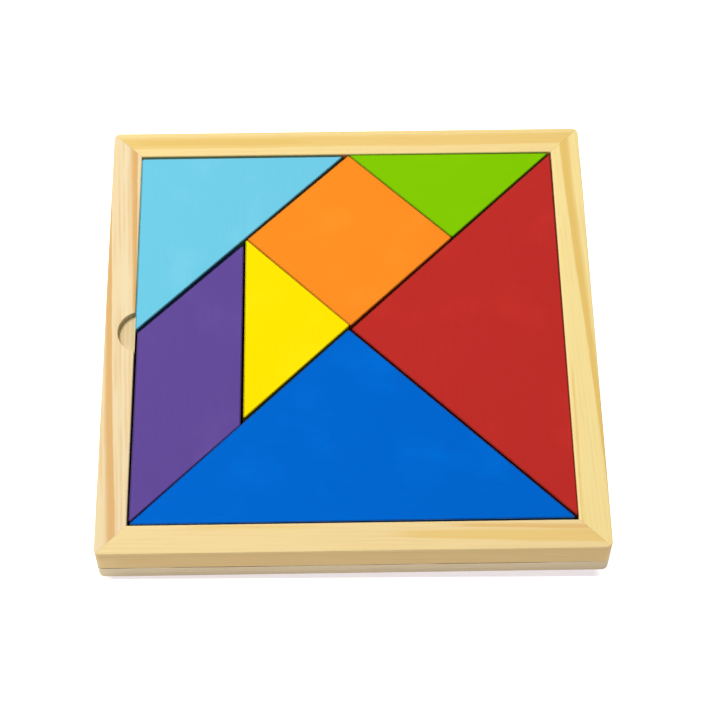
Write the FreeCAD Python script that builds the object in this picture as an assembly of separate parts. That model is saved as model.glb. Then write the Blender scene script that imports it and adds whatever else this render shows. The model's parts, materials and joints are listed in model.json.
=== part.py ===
import FreeCAD, Part
import math
import os

# Tangram puzzle: seven painted wooden tans lying in a square wooden tray.
# Millimetres. The origin is under the middle of the tray, on the surface that it stands on.
# X runs to the right, Y away from the player and Z up.

# Tray
tray_side = 185.0            # outside width and depth
tray_corner_radius = 2.4     # the four upright corners, rounded when the glued-up tray was sanded
rail_width = 11.4            # how much of the rim each frame rail covers
rail_height = 11.5           # frame above the base board, so also the depth of the pocket
rim_edge_radius = 0.9        # outer top edge of the frame
lip_edge_radius = 0.5        # inner top edge, round the pocket
base_thickness = 7.4         # board glued under the frame
base_edge_radius = 0.7       # outer bottom edge of the board

# Finger notch, routed into the left rail to lift the first tan
notch_radius = 9.1           # of the round cutter's path
notch_reach = 6.6            # from the pocket's wall into the rail
notch_depth = 3.0            # below the top of the rail
notch_bevel = 0.35           # broken edge round the notch

# Tans
tan_drop = 0.2               # tops of the tans below the top of the frame
tan_corner_radius = 0.5      # upright corners
tan_edge_break = 0.35        # arrises sanded off above and below, so that a tan can lie either way up
tan_play = 0.5               # taken off each side of a tan that is cut to the mean size

tray_height = base_thickness + rail_height
pocket_side = tray_side - 2 * rail_width
tan_thickness = rail_height - tan_drop
TOUCH = 1e-6                 # lengths closer than this count as equal

# Where the seven tans meet, as shares of half the pocket: left to right, then front to back.
# All corners of a tangram lie on a grid of four by four squares over the pocket.
FRONT_LEFT, FRONT_RIGHT = (-1.0, -1.0), (1.0, -1.0)
BACK_LEFT, BACK_MIDDLE, BACK_RIGHT = (-1.0, 1.0), (0.0, 1.0), (1.0, 1.0)
LEFT_MIDDLE, CENTRE = (-1.0, 0.0), (0.0, 0.0)
FRONT_LEFT_HALF, BACK_LEFT_HALF, BACK_RIGHT_HALF = (-0.5, -0.5), (-0.5, 0.5), (0.5, 0.5)

# Each tan: its corners, then how it lies in its place. Trim, shift and swing are counted in tan_play:
# trim is taken off each side, shift is its slip to the right and to the back, and swing is how far
# its turn to the left carries a point that is half a pocket away.
TANS = {
    "large_triangle_blue": ((FRONT_LEFT, FRONT_RIGHT, CENTRE), 0.5, (-0.45, 0.65), 0.4),
    "large_triangle_red": ((FRONT_RIGHT, BACK_RIGHT, CENTRE), 0.85, (0.25, 0.5), 0.35),
    "medium_triangle_light_blue": ((BACK_LEFT, LEFT_MIDDLE, BACK_MIDDLE), 0.85, (-0.7, -0.9), 0.1),
    "small_triangle_green": ((BACK_MIDDLE, BACK_RIGHT_HALF, BACK_RIGHT), 0.75, (-0.35, 0.15), -0.5),
    "small_triangle_yellow": ((BACK_LEFT_HALF, FRONT_LEFT_HALF, CENTRE), 0.6, (1.1, 3.5), -0.2),
    "square_orange": ((BACK_MIDDLE, BACK_LEFT_HALF, CENTRE, BACK_RIGHT_HALF), 1.3, (1.1, 1.2), -0.65),
    "parallelogram_purple": (
        (LEFT_MIDDLE, FRONT_LEFT, FRONT_LEFT_HALF, BACK_LEFT_HALF), 1.1, (0.75, -0.45), -0.75,
    ),
}


def prism(corners, z_low, z_high):
    """An upright solid over a closed outline of (x, y) corners."""
    points = [FreeCAD.Vector(x, y, z_low) for x, y in corners]
    outline = Part.makePolygon(points + points[:1])
    return Part.Face(outline).extrude(FreeCAD.Vector(0, 0, z_high - z_low))


def upright_edges(shape):
    """The straight edges that run from the bottom to the top."""
    height = shape.BoundBox.ZLength
    return [edge for edge in shape.Edges if abs(edge.BoundBox.ZLength - height) < TOUCH]


def edges_at(shape, height):
    """The edges that lie flat at one height."""
    return [
        edge for edge in shape.Edges
        if abs(edge.BoundBox.ZMin - height) < TOUCH and abs(edge.BoundBox.ZMax - height) < TOUCH
    ]


def square(side):
    """Corners of a square about the origin."""
    half = side / 2
    return [(-half, -half), (half, -half), (half, half), (-half, half)]


def rounded_block(corners, z_low, z_high, corner_radius):
    """A prism with its upright corners rounded."""
    block = prism(corners, z_low, z_high)
    return block.makeFillet(corner_radius, upright_edges(block))


def base_board():
    """The full-size board under the frame, with its bottom edge rounded."""
    board = rounded_block(square(tray_side), 0, base_thickness, tray_corner_radius)
    return board.makeFillet(base_edge_radius, edges_at(board, 0))


def frame_outside():
    """The frame as sanded from outside, before the pocket: round corners and a round rim."""
    block = rounded_block(square(tray_side), base_thickness, tray_height, tray_corner_radius)
    return block.makeFillet(rim_edge_radius, edges_at(block, tray_height))


def rail_stock():
    """A straight length of rail along the front, with the lip beside the pocket rounded."""
    outer, inner = -tray_side / 2, -pocket_side / 2
    strip = [(outer, outer), (-outer, outer), (-outer, inner), (outer, inner)]
    stock = prism(strip, base_thickness, tray_height)
    lip = [edge for edge in edges_at(stock, tray_height) if abs(edge.BoundBox.YMin - inner) < TOUCH]
    return stock.makeFillet(lip_edge_radius, lip)


def mitre_wedge():
    """The quarter of the tray in front of both diagonals, which cuts a rail's two mitres."""
    front = tray_side
    return prism([(0, 0), (-front, -front), (front, -front)], base_thickness, tray_height)


def mitred_rail():
    """The front rail, cut at 45 degrees at both ends and rounded with the frame."""
    return rail_stock().common(mitre_wedge()).common(frame_outside())


def turned(shape, degrees):
    """A copy turned to the left about the middle of the tray."""
    copy = shape.copy()
    copy.rotate(FreeCAD.Vector(0, 0, 0), FreeCAD.Vector(0, 0, 1), degrees)
    return copy


def notch_cutter():
    """The round blind notch at mid-length of the left rail, with its broken edge."""
    centre_x = -pocket_side / 2 - notch_reach + notch_radius
    floor = FreeCAD.Vector(centre_x, 0, tray_height - notch_depth)
    bevel = FreeCAD.Vector(centre_x, 0, tray_height - notch_bevel)
    bore = Part.makeCylinder(notch_radius, notch_depth, floor)
    flare = Part.makeCone(notch_radius, notch_radius + notch_bevel, notch_bevel, bevel)
    return bore.fuse(flare)


def trimmed(corners, trim):
    """The outline with every side moved inwards by trim. Corners run to the left round the outline."""
    moved = []
    for before, corner, after in zip(corners[-1:] + corners[:-1], corners, corners[1:] + corners[:1]):
        arriving = unit(before, corner)
        leaving = unit(corner, after)
        sine = arriving[0] * leaving[1] - arriving[1] * leaving[0]
        moved.append((
            corner[0] + trim * (leaving[0] - arriving[0]) / sine,
            corner[1] + trim * (leaving[1] - arriving[1]) / sine,
        ))
    return moved


def unit(start, end):
    """The direction from one point to another, of length one."""
    length = math.hypot(end[0] - start[0], end[1] - start[1])
    return (end[0] - start[0]) / length, (end[1] - start[1]) / length


def laid(corners, shift, swing):
    """The outline slipped and turned a little about its own middle, as the tan lies in its place."""
    middle_x = sum(x for x, y in corners) / len(corners)
    middle_y = sum(y for x, y in corners) / len(corners)
    turn = swing / (pocket_side / 2)
    return [
        (
            x + shift[0] - turn * (y - middle_y),
            y + shift[1] + turn * (x - middle_x),
        )
        for x, y in corners
    ]


def tan(places, trim, shift, swing):
    """One painted block: its share of the pocket, trimmed, laid on the base board, its edges sanded."""
    ideal = [(x * pocket_side / 2, y * pocket_side / 2) for x, y in places]
    slip = (shift[0] * tan_play, shift[1] * tan_play)
    outline = laid(trimmed(ideal, trim * tan_play), slip, swing * tan_play)
    block = rounded_block(outline, base_thickness, base_thickness + tan_thickness, tan_corner_radius)
    flat_edges = edges_at(block, base_thickness) + edges_at(block, base_thickness + tan_thickness)
    return block.makeChamfer(tan_edge_break, flat_edges)


def all_pieces():
    """Every separate piece by name."""
    rail = mitred_rail()
    pieces = {
        "base_board": base_board(),
        "rail_front": rail,
        "rail_right": turned(rail, 90),
        "rail_back": turned(rail, 180),
        "rail_left": turned(rail, -90).cut(notch_cutter()),
    }
    for name, (places, trim, shift, swing) in TANS.items():
        pieces[name] = tan(places, trim, shift, swing)
    return pieces


def main():
    os.makedirs("parts", exist_ok=True)
    for name, shape in all_pieces().items():
        solid = shape.Solids[0]
        solid.exportStep(os.path.join("parts", name + ".step"))
        print(name, "valid" if solid.isValid() else "INVALID", round(solid.Volume), "mm3")


main()
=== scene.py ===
import json
import math
from collections import namedtuple

import bmesh
import bpy
from mathutils import Matrix, Vector


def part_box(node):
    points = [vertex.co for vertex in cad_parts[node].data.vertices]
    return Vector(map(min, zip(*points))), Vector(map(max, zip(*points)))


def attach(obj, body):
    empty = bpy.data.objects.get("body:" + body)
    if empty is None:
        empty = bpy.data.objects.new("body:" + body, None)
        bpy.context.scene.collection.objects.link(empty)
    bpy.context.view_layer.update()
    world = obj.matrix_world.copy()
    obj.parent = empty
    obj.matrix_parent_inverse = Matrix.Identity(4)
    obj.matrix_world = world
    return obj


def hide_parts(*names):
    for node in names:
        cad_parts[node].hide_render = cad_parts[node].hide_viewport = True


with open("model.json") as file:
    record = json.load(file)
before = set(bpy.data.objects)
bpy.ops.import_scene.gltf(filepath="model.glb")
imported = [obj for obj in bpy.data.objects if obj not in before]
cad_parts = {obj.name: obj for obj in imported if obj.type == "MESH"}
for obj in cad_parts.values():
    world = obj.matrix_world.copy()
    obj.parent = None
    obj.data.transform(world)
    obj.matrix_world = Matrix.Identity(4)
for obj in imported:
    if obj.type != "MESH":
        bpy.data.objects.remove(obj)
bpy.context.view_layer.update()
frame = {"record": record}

# A tangram: seven painted wooden tans in a mitred pine tray. Sizes are in millimetres unless said otherwise.
MM = 0.001

# Sizes read from the frame
TRAY_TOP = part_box("rail_front")[1].z / MM
BASE_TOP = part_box("rail_front")[0].z / MM
HALF_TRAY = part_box("base_board")[1].x / MM
HALF_POCKET = -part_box("rail_front")[1].y / MM
TAN_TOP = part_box("square_orange")[1].z / MM

# Finish of the tray's edges
TRAY_CORNER = 2.4        # upright corners
RIM_RADIUS = 0.3         # outer top edge
LIP_RADIUS = 0.5         # top edge beside the pocket
JOINT_RADIUS = 0.15      # where the frame and the board meet outside
BASE_EDGE_RADIUS = 0.7   # bottom edge of the board
MITRE_GLUE = 0.03        # half of the hairline at each mitre

# Finger notch in the left rail, a little smaller and shallower than in the solid, as in the photo
NOTCH_RADIUS = 8.9
NOTCH_REACH = 6.4
NOTCH_DEPTH = 2.2
NOTCH_EDGE = 0.3
NOTCH_COVE = 0.4         # round of the floor's edge

# Finish of the tans
TAN_CORNER = 0.5         # upright corners of 45 degrees
TAN_WIDE_CORNER = 0.9    # and of 90 degrees or more, which lose more in the sanding
TAN_ARRIS = 0.35         # top and bottom edges
TAN_BAND = 0.45          # strip beside the arris over which the paint wears

# Camera, high in front of the tray, which looks steeply down and very slightly to the right
CAMERA_PLACE = Vector((-5.17, -419.26, TRAY_TOP + 689.15))
CAMERA_AZIMUTH = 0.904   # degrees to the right of straight away
CAMERA_DROP = 59.345     # degrees below the horizon
CAMERA_LENS = 108.8      # for a sensor 36 mm wide
SENSOR = 36.0


def paint(red, green, blue):
    """A colour as it is seen on a screen, 0 to 255, turned into the linear one that materials hold."""
    linear = []
    for value in (red, green, blue):
        share = value / 255
        linear.append(share / 12.92 if share <= 0.04045 else ((share + 0.055) / 1.055) ** 2.4)
    return (*linear, 1.0)


# Node tree helpers

def add(tree, kind, inputs=None, **settings):
    """A new node with its settings, and its inputs set or linked."""
    made = tree.nodes.new(kind)
    for name, value in settings.items():
        setattr(made, name, value)
    for key, value in (inputs or {}).items():
        if isinstance(value, bpy.types.NodeSocket):
            tree.links.new(value, made.inputs[key])
        else:
            made.inputs[key].default_value = value
    return made


def calc(tree, operation, *values):
    """A Math node's result."""
    return add(tree, "ShaderNodeMath", dict(enumerate(values)), operation=operation).outputs[0]


def fade(tree, value, start, end):
    """0 before start and 1 past end, smooth between them."""
    inputs = {"Value": value, "From Min": start, "From Max": end}
    return add(tree, "ShaderNodeMapRange", inputs, interpolation_type="SMOOTHSTEP").outputs["Result"]


def noise(tree, vector, seed, scale=1.0, detail=2.0, roughness=0.5):
    """A noise texture's value, about 0.5 in the middle."""
    inputs = {"Vector": vector, "W": seed, "Scale": scale, "Detail": detail, "Roughness": roughness}
    return add(tree, "ShaderNodeTexNoise", inputs, noise_dimensions="4D").outputs[0]


def stretched(tree, vector, x, y, z):
    """A vector scaled differently along each axis."""
    return add(tree, "ShaderNodeVectorMath", {0: vector, 1: (x, y, z)}, operation="MULTIPLY").outputs[0]


def mixed(tree, factor, first, second, blend="MIX"):
    """Two colours mixed by a factor."""
    made = add(tree, "ShaderNodeMix", data_type="RGBA", blend_type=blend)
    for socket, value in ((made.inputs[0], factor), (made.inputs[6], first), (made.inputs[7], second)):
        if isinstance(value, bpy.types.NodeSocket):
            tree.links.new(value, socket)
        else:
            socket.default_value = value
    return made.outputs[2]


def group(kind, name, inputs, outputs):
    """A node group with named inputs and outputs: the tree, its entry sockets and its result sockets."""
    tree = bpy.data.node_groups.new(name, kind)
    for label, socket_type, value in inputs:
        socket = tree.interface.new_socket(label, in_out="INPUT", socket_type=socket_type)
        if value is not None:
            socket.default_value = value
    for label, socket_type in outputs:
        tree.interface.new_socket(label, in_out="OUTPUT", socket_type=socket_type)
    entry = tree.nodes.new("NodeGroupInput").outputs
    result = tree.nodes.new("NodeGroupOutput").inputs
    return tree, entry, result


FLOAT, VECTOR = "NodeSocketFloat", "NodeSocketVector"


# Shader groups shared by the finishes

def growth_band_group():
    """A band of late wood that runs along a rail: dark at its sharp edge, fading over its width."""
    tree, entry, result = group("ShaderNodeTree", "growth_band", [
        ("Along", FLOAT, 0.0), ("Across", FLOAT, 0.0), ("Edge", FLOAT, 5.0), ("Drift", FLOAT, 0.0),
        ("Bow", FLOAT, 0.0), ("Width", FLOAT, 2.0), ("Taper", FLOAT, 0.0), ("Softness", FLOAT, 0.5),
        ("Start", FLOAT, -200.0), ("End", FLOAT, 200.0),
    ], [("Mask", FLOAT)])
    along = entry["Along"]
    straight = calc(tree, "MULTIPLY_ADD", along, entry["Drift"], entry["Edge"])
    squared = calc(tree, "MULTIPLY", along, along)
    edge = calc(tree, "MULTIPLY_ADD", squared, entry["Bow"], straight)
    width = calc(tree, "MULTIPLY_ADD", along, entry["Taper"], entry["Width"])
    inside = calc(tree, "DIVIDE", calc(tree, "SUBTRACT", edge, entry["Across"]), width)
    body = fade(tree, inside, 0.0, 0.1)
    plateau = calc(tree, "SUBTRACT", 1.0, entry["Softness"])
    tail = calc(tree, "SUBTRACT", 1.0, fade(tree, inside, plateau, 1.0))
    after = fade(tree, along, entry["Start"], calc(tree, "ADD", entry["Start"], 18.0))
    before = fade(tree, along, entry["End"], calc(tree, "SUBTRACT", entry["End"], 18.0))
    length = calc(tree, "MULTIPLY", after, before)
    mask = calc(tree, "MULTIPLY", calc(tree, "MULTIPLY", body, tail), length)
    tree.links.new(mask, result["Mask"])
    return tree


def pine_figure_group():
    """Coordinates and fine figure of a pine rail: X along it, Y across from the outer face, Z up."""
    tree, entry, result = group("ShaderNodeTree", "pine_figure", [
        ("Vector", VECTOR, None), ("Seed", FLOAT, 0.0), ("Run Out", FLOAT, 0.0), ("Ring Spacing", FLOAT, 1.8),
        ("Lean", FLOAT, 0.6),
    ], [("Along", FLOAT), ("Across", FLOAT), ("Rings", FLOAT), ("Fibre", FLOAT), ("Pores", FLOAT)])
    vector = entry["Vector"]
    seed = entry["Seed"]
    parts = add(tree, "ShaderNodeSeparateXYZ", {0: vector}).outputs
    wander = calc(tree, "SUBTRACT", noise(tree, stretched(tree, vector, 0.022, 0.06, 0.06), seed), 0.5)
    ripple = calc(tree, "SUBTRACT", noise(tree, stretched(tree, vector, 0.12, 0.5, 0.5), seed), 0.5)
    down = calc(tree, "SUBTRACT", TRAY_TOP, parts["Z"])
    leaning = calc(tree, "MULTIPLY_ADD", down, calc(tree, "MULTIPLY", entry["Lean"], -1.0), parts["Y"])
    across = calc(tree, "MULTIPLY_ADD", ripple, 0.5, calc(tree, "MULTIPLY_ADD", wander, 1.6, leaning))
    drifted = calc(tree, "MULTIPLY_ADD", parts["X"], calc(tree, "MULTIPLY", entry["Run Out"], -1.0), across)
    turns = calc(tree, "MULTIPLY", calc(tree, "DIVIDE", drifted, entry["Ring Spacing"]), math.tau)
    wave = calc(tree, "MULTIPLY_ADD", calc(tree, "SINE", turns), 0.5, 0.5)
    patchy = noise(tree, stretched(tree, vector, 0.03, 0.25, 0.25), calc(tree, "ADD", seed, 7.0))
    rings = calc(tree, "MULTIPLY", wave, fade(tree, patchy, 0.35, 0.65))
    fibre = noise(tree, stretched(tree, vector, 0.06, 2.6, 2.6), calc(tree, "ADD", seed, 3.0), detail=4.0)
    pores = noise(tree, stretched(tree, vector, 0.18, 9.0, 9.0), calc(tree, "ADD", seed, 5.0), detail=2.0)
    for name, value in (("Along", parts["X"]), ("Across", across), ("Rings", rings), ("Fibre", fibre),
                        ("Pores", pores)):
        tree.links.new(value, result[name])
    return tree


def paint_film_group():
    """What sprayed paint shows on a sanded block: soft clouds, faint grain below it and thin arrises."""
    tree, entry, result = group("ShaderNodeTree", "paint_film", [
        ("Vector", VECTOR, None), ("Seed", FLOAT, 0.0), ("From Arris", FLOAT, 1.0),
    ], [("Clouds", FLOAT), ("Grain", FLOAT), ("Worn", FLOAT), ("Height", FLOAT)])
    vector = entry["Vector"]
    seed = entry["Seed"]
    clouds = noise(tree, vector, seed, scale=0.045, detail=3.0)
    grain = noise(tree, stretched(tree, vector, 0.12, 1.9, 1.9), calc(tree, "ADD", seed, 3.0), detail=4.0)
    peel = noise(tree, vector, calc(tree, "ADD", seed, 9.0), scale=1.4, detail=1.0)
    near_arris = calc(tree, "SUBTRACT", 1.0, fade(tree, entry["From Arris"], 0.05, 0.4))
    rubbed = fade(tree, noise(tree, vector, calc(tree, "ADD", seed, 5.0), scale=0.22, detail=3.0), 0.42, 0.68)
    worn = calc(tree, "MULTIPLY", near_arris, calc(tree, "MULTIPLY_ADD", rubbed, 0.7, 0.3))
    height = calc(tree, "MULTIPLY_ADD", grain, 0.6, calc(tree, "MULTIPLY", peel, 0.4))
    for name, value in (("Clouds", clouds), ("Grain", grain), ("Worn", worn), ("Height", height)):
        tree.links.new(value, result[name])
    return tree


def placed(tree, shared, **inputs):
    """A shared group placed in a material, with its inputs by name: Run_Out stands for Run Out."""
    made = add(tree, "ShaderNodeGroup", node_tree=shared)
    for name, value in inputs.items():
        socket = made.inputs[name.replace("_", " ")]
        if isinstance(value, bpy.types.NodeSocket):
            tree.links.new(value, socket)
        else:
            socket.default_value = value
    return made.outputs


# Finishes

def new_material(name):
    """An empty material: its tree and its shader."""
    material = bpy.data.materials.new(name)
    material.use_nodes = True
    tree = material.node_tree
    shader = tree.nodes["Principled BSDF"]
    return material, tree, shader


def own_place(tree, turn=0.0, mirror=False, outer=0.0):
    """The place on the object in millimetres, turned so that X runs along the piece."""
    coordinates = add(tree, "ShaderNodeTexCoord").outputs["Object"]
    side = -1.0 if mirror else 1.0
    mapping = add(tree, "ShaderNodeMapping", {
        "Vector": coordinates,
        "Location": (0.0, outer, 0.0),
        "Rotation": (0.0, 0.0, math.radians(turn)),
        "Scale": (1 / MM, side / MM, 1 / MM),
    })
    return mapping.outputs[0]


Band = namedtuple("Band", "shade strength edge drift bow width taper softness start end")


def band(shade, strength, edge, width, drift=0.0, bow=0.0, taper=0.0, softness=0.6, start=-200.0, end=200.0):
    """A band of the grain. Its edge and width are across the rail, and it is dark beside its edge."""
    return Band(shade, strength, edge, drift, bow, width, taper, softness, start, end)


RailWood = namedtuple("RailWood", "turn mirror pale run_out lean rings seed bands")
GOLD = paint(233, 195, 104)
HONEY = paint(240, 205, 122)
AMBER = paint(224, 176, 108)
RUST = paint(232, 184, 108)
CREAM = paint(244, 226, 184)
OLIVE = paint(226, 208, 156)

# Bands as they lie on each rail, from its outer face. Along is to the right, or to the back on side rails.
RAIL_WOODS = {
    "rail_left": RailWood(90, True, paint(243, 220, 173), -0.045, 0.45, 0.4, 11.0, [
        band(AMBER, 0.3, 2.0, 3.0, drift=-0.04, softness=0.9, end=50.0),
        band(AMBER, 0.9, 2.9, 3.2, drift=-0.047, bow=0.0001, taper=-0.01, softness=0.5),
        band(OLIVE, 0.6, 5.2, 0.9, drift=-0.047, bow=0.0001, softness=0.8, end=20.0),
        band(CREAM, 0.6, 9.0, 5.0, drift=-0.03, softness=0.8),
        band(AMBER, 1.0, 11.7, 1.5, drift=-0.024, taper=0.036, softness=0.7, start=-2.0),
    ]),
    "rail_right": RailWood(-90, False, paint(252, 229, 156), 0.05, 0.5, 0.14, 23.0, [
        band(GOLD, 0.9, 3.8, 3.6, drift=0.052, taper=0.02, softness=0.5),
        band(HONEY, 0.7, 10.2, 1.2, drift=-0.004, end=-10.0),
    ]),
    "rail_back": RailWood(0, True, paint(249, 222, 152), 0.004, 0.4, 0.15, 37.0, [
        band(HONEY, 0.95, 7.8, 6.8, drift=-0.003, softness=0.35),
        band(GOLD, 0.7, 6.4, 4.6, softness=0.8, start=-92.0, end=-8.0),
    ]),
    "rail_front": RailWood(0, False, paint(247, 220, 158), -0.02, 0.7, 0.15, 41.0, [
        band(HONEY, 0.85, 5.3, -3.2, drift=-0.036, taper=-0.045, softness=0.4, start=8.0),
        band(RUST, 0.75, 9.6, -2.2, drift=-0.02, softness=0.6, start=28.0),
        band(HONEY, 0.8, 10.6, 2.2, softness=0.9, start=-66.0, end=-6.0),
    ]),
}


# Shades that the wood's colour is multiplied by
SIDE_TONE = (0.92, 0.845, 0.77, 1.0)     # on the outer faces
NOTCH_FLOOR_PAINTED_SHADE = (0.86, 0.86, 0.8, 1.0)     # painted shade on the finger notch's floor, where less light reaches into the recess; it is a little yellower too
SEAM_PAINTED_SHADE = (0.35, 0.35, 0.35, 1.0)      # painted shade on the walls of the gaps beside the tans, both the tans' painted sides and the bare rails


def pine_material(name, wood, figure, growth_band):
    """Pine under a clear satin lacquer, with the bands of one rail."""
    material, tree, shader = new_material(name)
    place = own_place(tree, wood.turn, wood.mirror, HALF_TRAY)
    lines = placed(tree, figure, Vector=place, Seed=wood.seed, Run_Out=wood.run_out, Lean=wood.lean)
    colour = wood.pale
    for one in wood.bands:
        mask = placed(tree, growth_band, Along=lines["Along"], Across=lines["Across"], Edge=one.edge,
                      Drift=one.drift, Bow=one.bow, Width=one.width, Taper=one.taper,
                      Softness=one.softness, Start=one.start, End=one.end)["Mask"]
        colour = mixed(tree, calc(tree, "MULTIPLY", mask, one.strength), colour, one.shade)
    colour = mixed(tree, calc(tree, "MULTIPLY", lines["Rings"], wood.rings), colour, AMBER)
    streaks = fade(tree, lines["Fibre"], 0.38, 0.72)
    colour = mixed(tree, calc(tree, "MULTIPLY", streaks, 0.12), colour, AMBER)
    specks = fade(tree, lines["Pores"], 0.6, 0.8)
    colour = mixed(tree, calc(tree, "MULTIPLY", specks, 0.1), colour, paint(190, 140, 80))
    parts = add(tree, "ShaderNodeSeparateXYZ", {0: place}).outputs
    depth, down = parts["Y"], calc(tree, "SUBTRACT", TRAY_TOP, parts["Z"])
    below_top = fade(tree, down, 0.3, 1.0)
    inside = fade(tree, depth, 0.3, 0.8)
    outside = calc(tree, "SUBTRACT", 1.0, inside)
    # Painted shade: the pocket walls beside the tans darken with depth below the rim.
    at_wall = calc(tree, "GREATER_THAN", depth, HALF_TRAY - HALF_POCKET - 0.05)
    in_seam = calc(tree, "MULTIPLY", fade(tree, down, 1.0, 3.0), at_wall)
    # Painted shade on the notch's floor.
    on_floor = fade(tree, down, NOTCH_DEPTH - 0.5, NOTCH_DEPTH - 0.1)
    for share, shade in ((calc(tree, "MULTIPLY", below_top, outside), SIDE_TONE),
                         (calc(tree, "MULTIPLY", on_floor, inside), NOTCH_FLOOR_PAINTED_SHADE), (in_seam, SEAM_PAINTED_SHADE)):
        colour = mixed(tree, share, colour, shade, "MULTIPLY")
    relief = calc(tree, "MULTIPLY_ADD", lines["Pores"], 0.4, lines["Fibre"])
    bump = add(tree, "ShaderNodeBump", {"Height": relief, "Strength": 0.12, "Distance": 0.0002})
    tree.links.new(colour, shader.inputs["Base Color"])
    tree.links.new(calc(tree, "MULTIPLY_ADD", lines["Fibre"], 0.16, 0.38), shader.inputs["Roughness"])
    tree.links.new(bump.outputs[0], shader.inputs["Normal"])
    shader.inputs["Specular IOR Level"].default_value = 0.1
    return material


PLY_COUNT = 5
GLUE_SHADE = paint(140, 104, 70)


def plywood_material(figure):
    """Sanded plywood: plies with their glue lines on the edge, a plain veneer above and below."""
    material, tree, shader = new_material("base_plywood")
    place = own_place(tree)
    parts = add(tree, "ShaderNodeSeparateXYZ", {0: place}).outputs
    ply = BASE_TOP / PLY_COUNT
    level = calc(tree, "DIVIDE", parts["Z"], ply)
    odd = calc(tree, "GREATER_THAN", calc(tree, "MODULO", level, 2.0), 1.0)
    lines = placed(tree, figure, Vector=place, Seed=53.0, Run_Out=0.01, Ring_Spacing=9.0, Lean=0.0)
    open_grain = noise(tree, stretched(tree, place, 1.5, 1.5, 4.0), 61.0, detail=3.0)
    long_shade = mixed(tree, fade(tree, lines["Fibre"], 0.3, 0.7), paint(255, 237, 203), paint(248, 225, 190))
    short_shade = mixed(tree, fade(tree, open_grain, 0.3, 0.7), paint(255, 234, 196), paint(243, 219, 178))
    colour = mixed(tree, odd, long_shade, short_shade)
    colour = mixed(tree, calc(tree, "MULTIPLY", lines["Rings"], 0.25), colour, paint(206, 176, 136))
    into_ply = calc(tree, "FRACT", calc(tree, "ADD", level, 0.5))
    off_line = calc(tree, "ABSOLUTE", calc(tree, "SUBTRACT", into_ply, 0.5))
    broken = noise(tree, stretched(tree, place, 0.05, 0.05, 0.5), 71.0, detail=3.0)
    glue_line = calc(tree, "SUBTRACT", 1.0, fade(tree, off_line, 0.03, 0.12))
    faint = calc(tree, "MULTIPLY", fade(tree, broken, 0.2, 0.8), 0.35)
    colour = mixed(tree, calc(tree, "MULTIPLY", glue_line, faint), colour, GLUE_SHADE)
    below_frame = calc(tree, "SUBTRACT", BASE_TOP, parts["Z"])
    squeeze = calc(tree, "SUBTRACT", 1.0, fade(tree, below_frame, 0.15, 0.6))
    colour = mixed(tree, calc(tree, "MULTIPLY", squeeze, fade(tree, broken, 0.3, 0.6)), colour, GLUE_SHADE)
    bump = add(tree, "ShaderNodeBump", {"Height": open_grain, "Strength": 0.15, "Distance": 0.0003})
    tree.links.new(colour, shader.inputs["Base Color"])
    tree.links.new(calc(tree, "MULTIPLY_ADD", open_grain, 0.2, 0.55), shader.inputs["Roughness"])
    tree.links.new(bump.outputs[0], shader.inputs["Normal"])
    shader.inputs["Specular IOR Level"].default_value = 0.2
    return material


Paint = namedtuple("Paint", "shade lighter darker grain_turn seed")
PAINTS = {
    "large_triangle_blue": Paint(paint(0, 103, 208), paint(0, 110, 216), paint(0, 97, 198), 4, 2.0),
    "large_triangle_red": Paint(paint(192, 46, 41), paint(199, 50, 43), paint(184, 43, 39), 93, 3.0),
    "medium_triangle_light_blue": Paint(
        paint(112, 203, 229), paint(122, 208, 233), paint(104, 198, 225), 88, 4.0,
    ),
    "small_triangle_green": Paint(paint(130, 202, 1), paint(136, 207, 3), paint(123, 196, 1), 2, 5.0),
    "small_triangle_yellow": Paint(paint(255, 230, 0), paint(255, 234, 10), paint(253, 225, 0), 91, 6.0),
    "square_orange": Paint(paint(254, 143, 35), paint(255, 149, 40), paint(252, 137, 30), 44, 7.0),
    "parallelogram_purple": Paint(paint(98, 74, 151), paint(104, 80, 157), paint(92, 69, 143), 87, 8.0),
}
BARE_EDGE = paint(214, 190, 150)


def paint_material(name, tint, film):
    """Satin paint over a sanded block."""
    material, tree, shader = new_material(name)
    place = own_place(tree, tint.grain_turn)
    from_arris = add(tree, "ShaderNodeAttribute", attribute_name="from_arris").outputs["Fac"]
    coat = placed(tree, film, Vector=place, Seed=tint.seed, From_Arris=from_arris)
    colour = mixed(tree, fade(tree, coat["Clouds"], 0.5, 0.75), tint.shade, tint.lighter)
    grain = calc(tree, "MULTIPLY", fade(tree, coat["Grain"], 0.4, 0.75), 0.3)
    colour = mixed(tree, grain, colour, tint.darker)
    colour = mixed(tree, calc(tree, "MULTIPLY", coat["Worn"], 0.1), colour, BARE_EDGE)
    height = add(tree, "ShaderNodeSeparateXYZ", {0: place}).outputs["Z"]
    down = calc(tree, "SUBTRACT", TAN_TOP, height)
    # Painted shade: the tan's sides darken with depth below its top, where the gaps beside it lie in shade.
    colour = mixed(tree, fade(tree, down, 0.05, 0.6), colour, SEAM_PAINTED_SHADE, "MULTIPLY")
    bump = add(tree, "ShaderNodeBump", {"Height": coat["Height"], "Strength": 0.1, "Distance": 0.0002})
    tree.links.new(colour, shader.inputs["Base Color"])
    tree.links.new(calc(tree, "MULTIPLY_ADD", coat["Grain"], 0.14, 0.4), shader.inputs["Roughness"])
    tree.links.new(bump.outputs[0], shader.inputs["Normal"])
    shader.inputs["Specular IOR Level"].default_value = 0.15
    shader.inputs["Specular Tint"].default_value = tint.shade
    return material


# Tans

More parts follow.
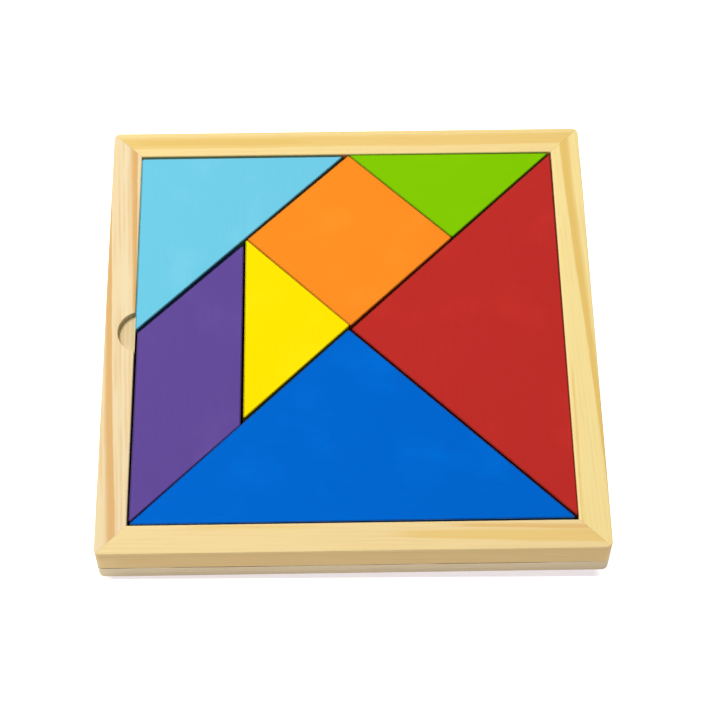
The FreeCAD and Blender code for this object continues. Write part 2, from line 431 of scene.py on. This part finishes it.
def sharp_outline(node):
    """Corners of a tan before its rounding, to the left round it: where its flat upright sides would meet."""
    sides = {}
    for face in node.data.polygons:
        flat_side = abs(face.normal.z) < 0.01 and face.area > 20 * MM * MM
        if flat_side:
            corner = node.data.vertices[face.vertices[0]].co / MM
            direction = (round(face.normal.x, 3), round(face.normal.y, 3))
            sides[direction] = (face.normal.x, face.normal.y, face.normal.dot(corner))
    ordered = sorted(sides.values(), key=lambda side: math.atan2(side[1], side[0]))
    corners = []
    for (ax, ay, a), (bx, by, b) in zip(ordered, ordered[1:] + ordered[:1]):
        cross = ax * by - ay * bx
        corners.append(((a * by - b * ay) / cross, (ax * b - bx * a) / cross, 0.0))
    return corners


def tan_tree():
    """Geometry Nodes that make a rounded block from its sharp outline."""
    tree, entry, result = group("GeometryNodeTree", "tan_block", [
        ("Outline", "NodeSocketGeometry", None), ("Corner Radius", FLOAT, 1.0),
        ("Wide Corner Radius", FLOAT, 1.0), ("Arris Radius", FLOAT, 0.4),
        ("Band", FLOAT, 0.8), ("Bottom", FLOAT, 0.0), ("Top", FLOAT, 10.0),
        ("Corner Steps", "NodeSocketInt", 8), ("Arris Steps", "NodeSocketInt", 4),
        ("Paint", "NodeSocketMaterial", None),
    ], [("Block", "NodeSocketGeometry")])
    sharp = add(tree, "GeometryNodeMeshToCurve", {"Mesh": entry["Outline"]}).outputs[0]
    width = add(tree, "GeometryNodeInputNamedAttribute", {"Name": "corner_width"}, data_type="FLOAT")
    radius = add(tree, "ShaderNodeMapRange", {
        "Value": width.outputs[0], "From Min": 45.0, "From Max": 90.0,
        "To Min": entry["Corner Radius"], "To Max": entry["Wide Corner Radius"],
    }).outputs["Result"]
    outline = add(tree, "GeometryNodeFilletCurve", {
        "Curve": sharp, "Radius": radius, "Count": entry["Corner Steps"],
    }, mode="POLY").outputs[0]
    outline = add(tree, "GeometryNodeSetCurveNormal", {"Curve": outline}, mode="Z_UP").outputs[0]

    # On a curve whose normals lie flat, a profile's X is depth out of it and its Y points down.
    inner, low, high = (calc(tree, "MULTIPLY", entry[name], -1.0) for name in ("Band", "Bottom", "Top"))
    def corner(depth, down):
        return add(tree, "ShaderNodeCombineXYZ", {"X": depth, "Y": down}).outputs[0]
    frame_shape = add(tree, "GeometryNodeCurvePrimitiveQuadrilateral", {
        "Point 1": corner(inner, low), "Point 2": corner(0.0, low),
        "Point 3": corner(0.0, high), "Point 4": corner(inner, high),
    }, mode="POINTS").outputs[0]
    open_shape = add(tree, "GeometryNodeSetSplineCyclic", {
        "Geometry": frame_shape, "Cyclic": False,
    }).outputs[0]
    halved = add(tree, "GeometryNodeSubdivideCurve", {"Curve": open_shape, "Cuts": 1}).outputs[0]
    section = add(tree, "GeometryNodeFilletCurve", {
        "Curve": halved, "Radius": entry["Arris Radius"], "Count": entry["Arris Steps"],
    }, mode="POLY").outputs[0]

    place = add(tree, "GeometryNodeInputPosition").outputs[0]
    at = add(tree, "ShaderNodeSeparateXYZ", {0: place}).outputs
    inwards = calc(tree, "ABSOLUTE", at["X"])
    above = calc(tree, "SUBTRACT", low, at["Y"])
    below = calc(tree, "SUBTRACT", at["Y"], high)
    distance = calc(tree, "MAXIMUM", inwards, calc(tree, "MINIMUM", above, below))
    section = add(tree, "GeometryNodeStoreNamedAttribute", {
        "Geometry": section, "Name": "from_arris", "Value": distance,
    }, data_type="FLOAT", domain="POINT").outputs[0]
    wall = add(tree, "GeometryNodeCurveToMesh", {
        "Curve": outline, "Profile Curve": section, "Fill Caps": False,
    }).outputs[0]

    faces_beside = add(tree, "GeometryNodeInputMeshEdgeNeighbors").outputs["Face Count"]
    height = add(tree, "ShaderNodeSeparateXYZ", {0: place}).outputs["Z"]
    middle = calc(tree, "MULTIPLY", calc(tree, "ADD", entry["Bottom"], entry["Top"]), 0.5)
    open_top = calc(tree, "MULTIPLY", calc(tree, "COMPARE", faces_beside, 1.0, 0.1),
                    calc(tree, "GREATER_THAN", height, middle))
    rim = add(tree, "GeometryNodeMeshToCurve", {"Mesh": wall, "Selection": open_top}).outputs[0]
    cap = add(tree, "GeometryNodeFillCurve", {"Curve": rim}, mode="NGONS").outputs[0]
    cap = add(tree, "GeometryNodeStoreNamedAttribute", {
        "Geometry": cap, "Name": "from_arris", "Value": entry["Band"],
    }, data_type="FLOAT", domain="POINT").outputs[0]
    flat = add(tree, "GeometryNodeSetPosition", {
        "Geometry": cap, "Position": stretched(tree, place, 1.0, 1.0, 0.0),
    }).outputs[0]
    def lifted(geometry, level):
        lift = add(tree, "ShaderNodeCombineXYZ", {"Z": level}).outputs[0]
        return add(tree, "GeometryNodeTransform", {"Geometry": geometry, "Translation": lift}).outputs[0]
    top = lifted(flat, entry["Top"])
    bottom = lifted(add(tree, "GeometryNodeFlipFaces", {"Mesh": flat}).outputs[0], entry["Bottom"])
    joined = tree.nodes.new("GeometryNodeJoinGeometry")
    for part in (wall, top, bottom):
        tree.links.new(part, joined.inputs[0])
    closed = add(tree, "GeometryNodeMergeByDistance", {
        "Geometry": joined.outputs[0], "Distance": 0.001,
    }).outputs[0]
    sized = add(tree, "GeometryNodeTransform", {"Geometry": closed, "Scale": (MM, MM, MM)}).outputs[0]
    real = add(tree, "GeometryNodeRealizeInstances", {"Geometry": sized}).outputs[0]
    painted = add(tree, "GeometryNodeSetMaterial", {"Geometry": real, "Material": entry["Paint"]}).outputs[0]
    tree.links.new(painted, result["Block"])
    return tree


def evaluated(holder, name):
    """The finished mesh of an object with its modifiers, as a plain mesh of its own."""
    bpy.context.view_layer.update()
    graph = bpy.context.evaluated_depsgraph_get()
    mesh = bpy.data.meshes.new_from_object(
        holder.evaluated_get(graph), preserve_all_data_layers=True, depsgraph=graph,
    )
    mesh.name = name
    bpy.data.objects.remove(holder)
    return mesh


def holder_of(mesh):
    """A passing object that carries a mesh while its modifiers work."""
    holder = bpy.data.objects.new("work", mesh)
    bpy.context.scene.collection.objects.link(holder)
    return holder


def outward(mesh):
    """Every face of a closed mesh turned outwards, smooth but for its sharp edges."""
    form = bmesh.new()
    form.from_mesh(mesh)
    bmesh.ops.recalc_face_normals(form, faces=form.faces)
    form.to_mesh(mesh)
    form.free()
    mesh.shade_smooth()
    mesh.set_sharp_from_angle(angle=math.radians(35))
    return mesh


def tan_mesh(name, tree, material):
    """One tan as a rounded block, in the place of its solid."""
    corners = sharp_outline(bpy.data.objects[name])
    outline = bpy.data.meshes.new(name + "_outline")
    count = len(corners)
    outline.from_pydata(corners, [(i, (i + 1) % count) for i in range(count)], [])
    widths = outline.attributes.new("corner_width", "FLOAT", "POINT")
    for i, corner in enumerate(corners):
        ahead, back = Vector(corners[(i + 1) % count]), Vector(corners[i - 1])
        widths.data[i].value = math.degrees((ahead - Vector(corner)).angle(back - Vector(corner)))
    holder = holder_of(outline)
    modifier = holder.modifiers.new("block", "NODES")
    modifier.node_group = tree
    values = {
        "Corner Radius": TAN_CORNER, "Wide Corner Radius": TAN_WIDE_CORNER, "Arris Radius": TAN_ARRIS,
        "Band": TAN_BAND, "Bottom": BASE_TOP, "Top": TAN_TOP, "Corner Steps": 8, "Arris Steps": 4,
        "Paint": material,
    }
    for item in tree.interface.items_tree:
        if item.in_out == "INPUT" and item.name in values:
            modifier[item.identifier] = values[item.name]
    return outward(evaluated(holder, name + "_block"))


# Tray

def arc(centre, radius, start, end, steps):
    """Points along an arc, angles in degrees."""
    points = []
    for i in range(steps + 1):
        angle = math.radians(start + (end - start) * i / steps)
        points.append((centre[0] + radius * math.cos(angle), centre[1] + radius * math.sin(angle)))
    return points


def rail_section():
    """Points round a rail's section: depth from the outer face, and height."""
    width = HALF_TRAY - HALF_POCKET
    top_columns = 10
    points = arc((JOINT_RADIUS, BASE_TOP + JOINT_RADIUS), JOINT_RADIUS, 270, 180, 3)
    points += arc((RIM_RADIUS, TRAY_TOP - RIM_RADIUS), RIM_RADIUS, 180, 90, 8)
    flat = width - RIM_RADIUS - LIP_RADIUS
    points += [(RIM_RADIUS + flat * i / top_columns, TRAY_TOP) for i in range(1, top_columns)]
    points += arc((width - LIP_RADIUS, TRAY_TOP - LIP_RADIUS), LIP_RADIUS, 90, 0, 6)
    points.append((width, BASE_TOP))
    return points


def rail_stations():
    """Places along a rail: (share of its straight length, angle round the tray's corner)."""
    straight, bend = 24, 6
    stations = [(-1.0, -45.0 * (bend - i) / bend) for i in range(bend)]
    stations += [(-1.0 + 2.0 * i / straight, 0.0) for i in range(straight + 1)]
    stations += [(1.0, 45.0 * (i + 1) / bend) for i in range(bend)]
    return stations


def rail_point(share, angle, depth, height):
    """A point of the front rail: straight along it, and round the tray's corner at both ends."""
    reach = HALF_TRAY - max(depth, TRAY_CORNER)
    x = share * reach
    y = depth - HALF_TRAY
    if depth < TRAY_CORNER:
        bend = math.radians(angle)
        radius = TRAY_CORNER - depth
        x += radius * math.sin(bend)
        y = -reach - radius * math.cos(bend)
    mitre = abs(y) - MITRE_GLUE
    x = max(-mitre, min(mitre, x))
    return Vector((x, y, height)) * MM


def rail_mesh(name, turn):
    """A mitred rail, turned to its side of the tray."""
    section = rail_section()
    stations = rail_stations()
    form = bmesh.new()
    rows = [[form.verts.new(rail_point(share, angle, depth, height)) for depth, height in section]
            for share, angle in stations]
    around = len(section)
    for before, after in zip(rows, rows[1:]):
        for i in range(around):
            j = (i + 1) % around
            form.faces.new((before[i], before[j], after[j], after[i]))
    form.faces.new(rows[0][::-1])
    form.faces.new(rows[-1])
    bmesh.ops.remove_doubles(form, verts=form.verts, dist=1e-6)
    to_its_side = Matrix.Rotation(math.radians(turn), 3, "Z")
    bmesh.ops.rotate(form, cent=(0, 0, 0), matrix=to_its_side, verts=form.verts)
    mesh = bpy.data.meshes.new(name)
    form.to_mesh(mesh)
    form.free()
    return mesh


def notch_cutter():
    """The round cutter of the finger notch, flared at the top so that it leaves a soft edge."""
    floor = TRAY_TOP - NOTCH_DEPTH
    profile = [(0.0, floor)]
    profile += arc((NOTCH_RADIUS - NOTCH_COVE, floor + NOTCH_COVE), NOTCH_COVE, 270, 360, 8)
    profile += arc((NOTCH_RADIUS + NOTCH_EDGE, TRAY_TOP - NOTCH_EDGE), NOTCH_EDGE, 180, 90, 5)
    profile += [(NOTCH_RADIUS + NOTCH_EDGE, TRAY_TOP + 1.0), (0.0, TRAY_TOP + 1.0)]
    form = bmesh.new()
    path = [form.verts.new(Vector((radius, 0, height)) * MM) for radius, height in profile]
    edges = [form.edges.new(pair) for pair in zip(path, path[1:])]
    bmesh.ops.spin(form, geom=path + edges, cent=(0, 0, 0), axis=(0, 0, 1), angle=math.tau, steps=96)
    bmesh.ops.remove_doubles(form, verts=form.verts, dist=1e-6)
    bmesh.ops.recalc_face_normals(form, faces=form.faces)
    centre = Vector((NOTCH_RADIUS - NOTCH_REACH - HALF_POCKET, 0, 0)) * MM
    bmesh.ops.translate(form, vec=centre, verts=form.verts)
    mesh = bpy.data.meshes.new("notch_cutter")
    form.to_mesh(mesh)
    form.free()
    return mesh


def notched(mesh):
    """The left rail with its finger notch cut."""
    rail, cutter = holder_of(mesh), holder_of(notch_cutter())
    modifier = rail.modifiers.new("notch", "BOOLEAN")
    modifier.operation = "DIFFERENCE"
    modifier.solver = "EXACT"
    modifier.object = cutter
    cut = evaluated(rail, mesh.name + "_cut")
    bpy.data.objects.remove(cutter)
    return cut


def base_mesh():
    """The board under the frame: rounded corners, a rounded bottom edge and a soft joint with the frame."""
    section = arc((BASE_EDGE_RADIUS, BASE_EDGE_RADIUS), BASE_EDGE_RADIUS, 270, 180, 10)
    section += [(0.0, BASE_TOP * share) for share in (0.4, 0.6, 0.8)]
    section += arc((JOINT_RADIUS, BASE_TOP - JOINT_RADIUS), JOINT_RADIUS, 180, 90, 3)
    form = bmesh.new()
    rings = []
    for depth, height in section:
        ring = []
        for quarter in range(4):
            centre = HALF_TRAY - TRAY_CORNER
            turned = Matrix.Rotation(math.radians(90 * quarter), 3, "Z")
            for x, y in arc((centre, -centre), TRAY_CORNER - depth, -90, 0, 10):
                ring.append(form.verts.new(turned @ Vector((x, y, height)) * MM))
        rings.append(ring)
    around = len(rings[0])
    for lower, upper in zip(rings, rings[1:]):
        for i in range(around):
            j = (i + 1) % around
            form.faces.new((lower[i], lower[j], upper[j], upper[i]))
    form.faces.new(rings[0][::-1])
    form.faces.new(rings[-1])
    mesh = bpy.data.meshes.new("base_board_sanded")
    form.to_mesh(mesh)
    form.free()
    return mesh


# Putting the pieces in the tray

def place_piece(name, mesh, material):
    """A finished piece that stands for its solid."""
    mesh.materials.clear()
    mesh.materials.append(material)
    piece = bpy.data.objects.new(name + "_finish", mesh)
    bpy.context.scene.collection.objects.link(piece)
    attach(piece, "root")
    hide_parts(name)
    return piece


def make_tans():
    """The seven painted tans, all by one tree."""
    tree, film = tan_tree(), paint_film_group()
    for part in frame["record"]["subparts"]:
        name = part["node"]
        if name in PAINTS:
            material = paint_material(part["material_slot"], PAINTS[name], film)
            place_piece(name, tan_mesh(name, tree, material), material)


def make_tray():
    """The four pine rails and the plywood board."""
    figure, growth_band = pine_figure_group(), growth_band_group()
    turns = {"rail_front": 0, "rail_right": 90, "rail_back": 180, "rail_left": -90}
    for name, turn in turns.items():
        mesh = rail_mesh(name + "_planed", turn)
        if name == "rail_left":
            mesh = notched(mesh)
        material = pine_material(name.replace("rail", "pine"), RAIL_WOODS[name], figure, growth_band)
        place_piece(name, outward(mesh), material)
    place_piece("base_board", outward(base_mesh()), plywood_material(figure))


# Studio

AMBIENT = 0.22           # light from all round
OVERHEAD_PLACE = (-0.7, 0.56, 1.68)      # metres: above the tray, to its left and behind it
OVERHEAD_SIZE = 0.84     # metres, each side of the soft box
OVERHEAD_POWER = 33.0    # watts
FLOOR_ALBEDO = 0.85      # of the floor, as it lights the tray's sides
FLOOR_LAMP = 0.3         # light that comes up through it
SHADOW_SHARE = 1.0       # of the floor's own shading that the camera sees
CONTACT_REACH = 1.7      # millimetres that the painted contact shadow shows beyond the tray
CONTACT_SPREAD = 0.009   # how much further it shows for each millimetre to the right of the middle
PAINTED_SHADOW_GLOW = (0.47, 0.45, 0.52, 1.0)   # painted contact shadow: the dimmer glow added to the shading there; beyond it the floor is plain white


def sees_background(tree):
    """1 for rays that see the background directly, in a mirror or through glass."""
    path = add(tree, "ShaderNodeLightPath").outputs
    seen = calc(tree, "MAXIMUM", path["Is Camera Ray"], path["Is Glossy Ray"])
    return calc(tree, "MAXIMUM", seen, path["Is Transmission Ray"])


def make_world():
    """Plain white behind the tray, and even soft light on it."""
    world = bpy.data.worlds.new("studio")
    bpy.context.scene.world = world
    world.use_nodes = True
    tree = world.node_tree
    tree.nodes.clear()
    soft = add(tree, "ShaderNodeBackground", {"Color": (1, 1, 1, 1), "Strength": AMBIENT}).outputs[0]
    white = add(tree, "ShaderNodeBackground", {"Color": (1, 1, 1, 1), "Strength": 1.0}).outputs[0]
    mix = add(tree, "ShaderNodeMixShader", {0: sees_background(tree), 1: soft, 2: white}).outputs[0]
    add(tree, "ShaderNodeOutputWorld", {"Surface": mix})


def make_floor():
    """A pale floor that keeps a faint shadow of the tray, with a painted contact shadow along its front and
    back edges, and is white elsewhere.
    """
    size = 3.0
    mesh = bpy.data.meshes.new("floor")
    corners = [(-size, -size, 0), (size, -size, 0), (size, size, 0), (-size, size, 0)]
    mesh.from_pydata(corners, [], [(0, 1, 2, 3)])
    floor = bpy.data.objects.new("floor", mesh)
    bpy.context.scene.collection.objects.link(floor)
    material = bpy.data.materials.new("floor_paper")
    material.use_nodes = True
    tree = material.node_tree
    tree.nodes.clear()
    matt = add(tree, "ShaderNodeBsdfDiffuse", {"Color": (FLOOR_ALBEDO,) * 3 + (1,)}).outputs[0]
    lamp = add(tree, "ShaderNodeEmission", {"Color": (1, 1, 1, 1), "Strength": FLOOR_LAMP}).outputs[0]
    plain = add(tree, "ShaderNodeAddShader", {0: matt, 1: lamp}).outputs[0]
    shaded = add(tree, "ShaderNodeBsdfDiffuse", {"Color": (SHADOW_SHARE,) * 3 + (1,)}).outputs[0]
    place = own_place(tree)
    parts = add(tree, "ShaderNodeSeparateXYZ", {0: place}).outputs
    # Painted contact shadow: close to the tray's front and back edges the floor's glow is dimmed by position
    # alone.
    beyond = calc(tree, "SUBTRACT", calc(tree, "ABSOLUTE", parts["Y"]), HALF_TRAY)
    beside = calc(tree, "SUBTRACT", calc(tree, "ABSOLUTE", parts["X"]), HALF_TRAY)
    past = calc(tree, "MULTIPLY_ADD", parts["X"], -CONTACT_SPREAD, beyond)
    clear = calc(tree, "MAXIMUM", fade(tree, past, CONTACT_REACH - 0.3, CONTACT_REACH + 0.4),
                 fade(tree, beside, -6.0, 0.0))
    floor_glow_with_painted_shadow = mixed(tree, clear, PAINTED_SHADOW_GLOW, (1, 1, 1, 1))
    glow = add(tree, "ShaderNodeEmission", {"Color": floor_glow_with_painted_shadow}).outputs[0]
    lit = add(tree, "ShaderNodeAddShader", {0: shaded, 1: glow}).outputs[0]
    mix = add(tree, "ShaderNodeMixShader", {0: sees_background(tree), 1: plain, 2: lit}).outputs[0]
    add(tree, "ShaderNodeOutputMaterial", {"Surface": mix})
    mesh.materials.append(material)


def make_light(name, place, power, size):
    """A square soft box that faces the tray."""
    lamp = bpy.data.lights.new(name, "AREA")
    lamp.energy = power
    lamp.shape = "SQUARE"
    lamp.size = size
    holder = bpy.data.objects.new(name, lamp)
    holder.location = place
    holder.rotation_euler = (-Vector(place)).to_track_quat("-Z", "Y").to_euler()
    bpy.context.scene.collection.objects.link(holder)


def make_camera():
    """The camera where the photograph was taken from."""
    lens = bpy.data.cameras.new("camera")
    lens.sensor_width = SENSOR
    lens.lens = CAMERA_LENS
    lens.clip_start, lens.clip_end = 0.05, 20.0
    camera = bpy.data.objects.new("camera", lens)
    azimuth, drop = math.radians(CAMERA_AZIMUTH), math.radians(CAMERA_DROP)
    ahead = Vector((math.sin(azimuth) * math.cos(drop), math.cos(azimuth) * math.cos(drop), -math.sin(drop)))
    camera.location = CAMERA_PLACE * MM
    camera.rotation_euler = ahead.to_track_quat("-Z", "Y").to_euler()
    bpy.context.scene.collection.objects.link(camera)
    bpy.context.scene.camera = camera


make_camera()
make_tray()
make_tans()
make_world()
make_floor()
make_light("overhead_box", OVERHEAD_PLACE, OVERHEAD_POWER, OVERHEAD_SIZE)
bpy.context.scene.view_settings.view_transform = "Standard"
